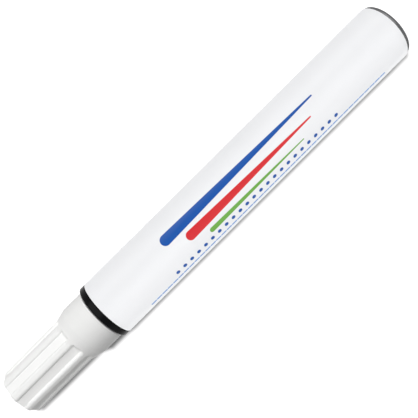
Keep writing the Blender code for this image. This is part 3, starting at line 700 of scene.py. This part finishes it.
def makeCap(sizes):
    ridgeMid = sizes["ridgeRear"] + sizes["ridgeWidth"] / 2
    outside = [
        (0, sizes["front"] - sizes["gateDepth"]),
        (sizes["gateRadius"] - 0.2, sizes["front"] - sizes["gateDepth"], 0.1),
        (sizes["gateRadius"], sizes["front"], 0.1),
        (sizes["tipRadius"], sizes["front"], sizes["tipCorner"]),
        (sizes["gripRadius"], sizes["shoulderFront"], sizes["shoulderEdge"]),
        (sizes["skirtRadius"], sizes["skirtFront"], sizes["skirtEdge"]),
        (sizes["skirtRadius"], sizes["mouth"], sizes["mouthCorner"]),
        (sizes["bore"], sizes["mouth"], sizes["mouthCorner"]),
    ]
    inside = [
        (sizes["bore"], sizes["ridgeRear"], 0.1),
        (sizes["ridgeRadius"], ridgeMid, 0.3),
        (sizes["bore"], sizes["ridgeRear"] + sizes["ridgeWidth"], 0.1),
        (sizes["bore"], sizes["skirtFront"], 0.6),
        (sizes["gripBore"], sizes["shoulderFront"], 0.6),
        (sizes["gripBore"], sizes["front"] - sizes["endWall"], 0.4),
        (0, sizes["front"] - sizes["endWall"]),
    ]
    rows = roundedRows(outside + inside, sizes["arcSteps"])
    outerCount = len(roundedRows(outside, sizes["arcSteps"]))
    outerRows = denserRows(rows[:outerCount], 0.5)
    # The rows stand closer where the flutes sweep out
    rowsBefore, rowsAfter = sizes["fluteRowsPast"]
    sweptFrom = sizes["shoulderFront"] - sizes["fluteSweep"] - rowsBefore
    outerRows = denserRows(outerRows, sizes["fluteRowSpacing"], sweptFrom, sizes["shoulderFront"] + rowsAfter)
    innerRows = denserRows(rows[outerCount - 1:], 1.5)[1:]
    rows = np.concatenate([outerRows, innerRows])
    mouthRows = sizes["arcSteps"] + 2
    outer = np.arange(len(rows)) < len(outerRows) - mouthRows
    radius, angle = flutedRows(rows[:, 0], rows[:, 1], outer, sizes)
    starts = math.radians(sizes["firstFlute"]) + math.tau * np.arange(sizes["flutes"]) / sizes["flutes"]
    radius = np.concatenate([radius] * sizes["flutes"], 1)
    angle = np.concatenate([angle + start for start in starts], 1)
    points = onPen(radius, angle, rows[:, 1:] + 0 * angle)
    finish = plasticFinish("capPlastic", sizes["gripColour"], 0.40, 0.012, 0.12, flow=True)
    # The skirt is painted darker than the grip, a painted shade over the stretch where the black neck sits
    # behind it
    parts = finish.add("ShaderNodeSeparateXYZ", Vector=finish.place)
    neckEnd, shadeEnd = [closedEndX - station * mm for station in sizes["paintedSkirtShadeStations"]]
    paintedSkirtShade = finish.span(parts.outputs["X"], shadeEnd, neckEnd, smooth=True)
    gripColour = finish.shader.inputs["Base Color"].links[0].from_socket
    finish.set(colour=finish.mix(paintedSkirtShade, gripColour, sizes["skirtPaintedShadeColour"]))
    mesh = meshFromGrid("capShell", points, False)
    return addPiece("capShell", mesh, "cap", "cap_shell", finish.material)


makeCap(capSizes)

linerSizes = {"rear": 118.9, "front": 138.5, "radius": 5.2, "bore": 4.6, "corner": 0.8, "columns": 160}


def makeLiner(sizes):
    wall = sizes["radius"] - sizes["bore"]
    corners = [
        (0, sizes["front"]),
        (sizes["radius"], sizes["front"], sizes["corner"]),
        (sizes["radius"], sizes["rear"], 0.2),
        (sizes["bore"], sizes["rear"], 0.28),
        (sizes["bore"], sizes["front"] - wall, sizes["corner"] - wall / 2),
        (0, sizes["front"] - wall),
    ]
    plastic = plasticFinish("softLinerPlastic", (0.86, 0.86, 0.85), 0.5, 0.02).material
    return turnedPiece(
        "capLiner", corners, "cap", "cap_liner", plastic, columns=sizes["columns"])


makeLiner(linerSizes)


noseSizes = {
    "rear": 105.0, "flangeRear": 117.3, "flangeFront": 118.1, "landFront": 121.7, "front": 126.0,
    "bodyRadius": 4.6, "flangeRadius": 5.4, "radius": 4.3, "tipRadius": 3.5, "bore": 2.8, "columns": 192,
}


def makeNose(sizes):
    corners = [
        (sizes["bore"], sizes["front"], 0.15),
        (sizes["tipRadius"], sizes["front"], 0.3),
        (sizes["radius"], sizes["landFront"], 1.5),
        (sizes["radius"], sizes["flangeFront"], 0.2),
        (sizes["flangeRadius"], sizes["flangeFront"], 0.25),
        (sizes["flangeRadius"], sizes["flangeRear"], 0.1),
        (sizes["bodyRadius"], sizes["flangeRear"]),
        (sizes["bodyRadius"], sizes["rear"], 0.3),
        (sizes["bore"], sizes["rear"], 0.1),
    ]
    plastic = plasticFinish("naturalPlastic", (0.82, 0.82, 0.80), 0.42, 0.015, 0.45, flow=True).material
    return turnedPiece(
        "noseHolder", corners, "pen_body", "nib_holder", plastic, columns=sizes["columns"])


makeNose(noseSizes)

nibSizes = {
    "rear": 107.0, "front": 132.3, "radius": 2.5, "chisel": 3.8, "blade": 1.2, "corner": 0.22, "columns": 160,
    "beyondChisel": 0.6,       # the close rows run this far past the chisel
    "easing": 14,              # the higher it is, the sharper the corner between rod and wedge
}


def feltFinish():
    # Dense felt: short fibres along the nib, a dry matt face and a little fuzz in its sheen
    finish = Finish("denseFelt", (0.80, 0.79, 0.75), 0.92)
    finish.shader.inputs["Sheen Weight"].default_value = 0.25
    finish.shader.inputs["Sheen Roughness"].default_value = 0.6
    finish.shader.inputs["Specular IOR Level"].default_value = 0.2
    fibres = finish.noise(finish.aboutAxis((700, 5200, 5200)), 1.0, 5.0, 0.65)
    lumps = finish.noise(finish.place, 1500.0, 3.0)
    tone = finish.calc("ADD", finish.calc("MULTIPLY", fibres, 0.7), finish.calc("MULTIPLY", lumps, 0.3))
    finish.set(
        colour=finish.mix(finish.span(tone, 0.36, 0.64), (0.66, 0.645, 0.60), (0.86, 0.85, 0.815)),
        bump=finish.bumpFrom(fibres, 0.8, 0.06),
    )
    return finish.material


def makeNib(sizes):
    # A round rod whose height is held under a wedge, with the corner between them eased, and a small
    # rounding all round its front and rear ends
    corner = sizes["corner"]
    rise = np.linspace(0, math.pi / 2, 7)
    front = sizes["front"] - corner + corner * np.sin(rise[::-1])
    frontInset = corner * (1 - np.cos(rise[::-1]))
    closeTo = sizes["front"] - sizes["chisel"] - sizes["beyondChisel"]
    chisel = np.linspace(sizes["front"] - corner, closeTo, 40)[1:]
    rod = np.linspace(chisel[-1], sizes["rear"] + corner, 20)[1:]
    rear = sizes["rear"] + corner - corner * np.sin(rise)
    rearInset = corner * (1 - np.cos(rise))
    station = np.concatenate([[sizes["front"]], front, chisel, rod, rear[1:], [sizes["rear"]]])
    onAxis = [sizes["radius"]]
    inset = np.concatenate([onAxis, frontInset, 0 * chisel, 0 * rod, rearInset[1:], onAxis])
    radius = (sizes["radius"] - inset)[:, None]
    slope = (sizes["radius"] - sizes["blade"] / 2) / sizes["chisel"]
    wedge = sizes["blade"] / 2 + slope * (sizes["front"] - station)
    shrink = np.where(inset < sizes["radius"], 1 - inset / sizes["radius"], 0)
    limit = np.maximum((wedge - np.minimum(inset, corner)) * (shrink > 0), 1e-6)[:, None]
    angles = np.linspace(0, math.tau, sizes["columns"], endpoint=False)[None]
    up = radius * np.cos(angles)
    eased = up / (1 + (np.abs(up) / limit) ** sizes["easing"]) ** (1 / sizes["easing"])
    points = np.stack([
        closedEndX - (station[:, None] + 0 * angles) * mm,
        -radius * np.sin(angles) * mm,
        axisHeight + eased * mm,
    ], -1)
    mesh = meshFromGrid("feltNib", points, False)
    return addPiece("feltNib", mesh, "nib_body", "nib", feltFinish())


makeNib(nibSizes)


def rubberFinish():
    finish = Finish("sealRubber", (0.03, 0.03, 0.03), 0.62)
    cloud = finish.noise(finish.place, 900.0, 3.0)
    finish.set(
        colour=finish.mix(finish.span(cloud, 0.3, 0.7), (0.022, 0.022, 0.023), (0.042, 0.042, 0.041)),
        roughness=finish.span(cloud, 0.3, 0.7, 0.52, 0.72),
        bump=finish.bumpFrom(cloud, 0.5, 0.02),
    )
    return finish.material


def steelFinish():
    # Drawn wire: fine lines and a soft gloss
    finish = Finish("springSteel", (0.6, 0.6, 0.6), 0.25, 1.0)
    lines = finish.noise(finish.aboutAxis((1500, 4000, 4000)), 1.0, 3.0)
    finish.set(
        colour=finish.mix(finish.span(lines, 0.3, 0.7), (0.52, 0.52, 0.53), (0.66, 0.66, 0.65)),
        roughness=finish.span(lines, 0.3, 0.7, 0.18, 0.34),
    )
    return finish.material


springSizes = {
    "coilRadius": 2.05, "wireRadius": 0.25, "turns": 7, "stepsPerTurn": 40, "columns": 14,
    "tipShare": 0.82,          # the wire's thickness at its very ends, as a share of the rest
}


def makeSpring(sizes):
    # Wire swept along a helix from the cage's floor to the stem's head. The wire's circle stands square to
    # the helix: one of its arms points out from the axis, and the other is square to that and to the helix.
    low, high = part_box("valve_spring")
    wire = sizes["wireRadius"]
    turned = np.linspace(0, math.tau * sizes["turns"], sizes["turns"] * sizes["stepsPerTurn"] + 1)
    turned = np.concatenate([turned[:1], turned[:1], turned, turned[-1:], turned[-1:]])
    rear, front = (closedEndX - high.x) / mm + wire, (closedEndX - low.x) / mm - wire
    station = rear + (front - rear) * turned / turned[-1]
    tips = [0, sizes["tipShare"]]
    thick = np.concatenate([tips, np.ones(len(turned) - 4), tips[::-1]])[:, None, None] * wire
    coil = sizes["coilRadius"]
    centre = onPen(coil, -turned, station)
    climb = (front - rear) / turned[-1] + 0 * turned
    outward = np.stack([0 * turned, np.sin(turned), np.cos(turned)], -1) * mm
    along = np.stack([-climb, coil * np.cos(turned), -coil * np.sin(turned)], -1)
    sideways = np.cross(along / np.linalg.norm(along, axis=1)[:, None], outward)
    angles = np.linspace(0, math.tau, sizes["columns"], endpoint=False)[None, :, None]
    circle = np.cos(angles) * outward[:, None] + np.sin(angles) * sideways[:, None]
    points = centre[:, None] + thick * circle
    mesh = meshFromGrid("valveSpring", points, False)
    spring = addPiece("valveSpring", mesh, "pen_body", "valve_spring", steelFinish())
    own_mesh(spring)
    return spring


makeSpring(springSizes)


def dressValve():
    rubber = rubberFinish()
    plastic = plasticFinish("valvePlastic", (0.78, 0.78, 0.76), 0.44, 0.015).material
    finishes = {"mouth_seal": rubber, "valve_seal": rubber, "valve_cage": plastic, "valve_stem": plastic}
    for name, finish in finishes.items():
        node = nodes[name]
        node.data.materials.clear()
        node.data.materials.append(finish)


dressValve()
print("finishes set")

for name, state, isFilmLamp in (("filmOnly", "INCLUDE", True), ("allButFilm", "EXCLUDE", False)):
    receivers = bpy.data.collections.new(name)
    receivers.objects.link(labelFilm)
    receivers.collection_objects[0].light_linking.link_state = state
    for lampName, lampObject in lampObjects.items():
        if lampName.startswith("film") == isFilmLamp:
            lampObject.light_linking.receiver_collection = receivers

bpy.context.scene.view_settings.view_transform = "Standard"

bpy.context.view_layer.update()
